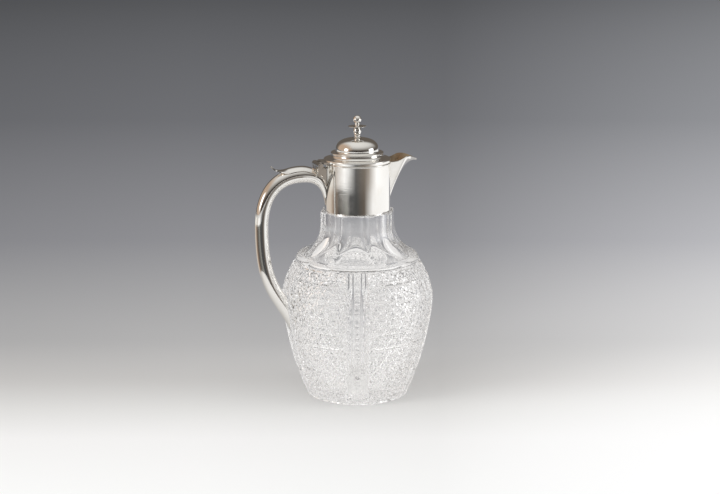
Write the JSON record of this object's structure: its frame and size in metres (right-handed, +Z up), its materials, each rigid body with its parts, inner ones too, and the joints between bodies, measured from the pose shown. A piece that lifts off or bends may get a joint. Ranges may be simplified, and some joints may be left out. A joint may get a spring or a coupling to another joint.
{
  "type": "claret jug",
  "caption": "Cut-glass wine jug with a silver collar, beak spout, hollow loop handle and a domed lid that hinges open above the handle.",
  "frame": {"origin": "on the jug's axis, at the centre of the flat face that it stands on", "axes": "+Z up along the jug's axis, +X towards the spout with the handle on -X, +Y across the jug along the hinge pin"},
  "size_m": [0.1569, 0.1318, 0.2454],
  "materials": {
    "cut_glass": "polished",
    "silver": "polished",
    "plaster": "matte"
  },
  "bodies": {
    "jug": {"glass_body": "cut_glass", "neck_bedding": "plaster", "collar": "silver", "collar_rim": "silver", "collar_bezel": "silver", "spout": "silver", "handle": "silver", "handle_bedding": "plaster", "thumb_rest": "silver", "hinge_lug": "silver", "hinge_pin": "silver"},
    "lid": {"lid_flange": "silver", "lid_locating_ring": "silver", "lid_moulding": "silver", "lid_bead": "silver", "lid_dome": "silver", "lid_leaf": "silver", "finial_stem": "silver", "finial_disc": "silver", "finial_ball": "silver", "finial_washer": "silver", "finial_nut": "silver"}
  },
  "joints": [
    {"name": "lid_hinge", "type": "hinge", "parent": "jug", "child": "lid", "pos_m": [-0.0355, 0, 0.2046], "axis": [0, -1, 0], "range_deg": [0, 100]}
  ]
}
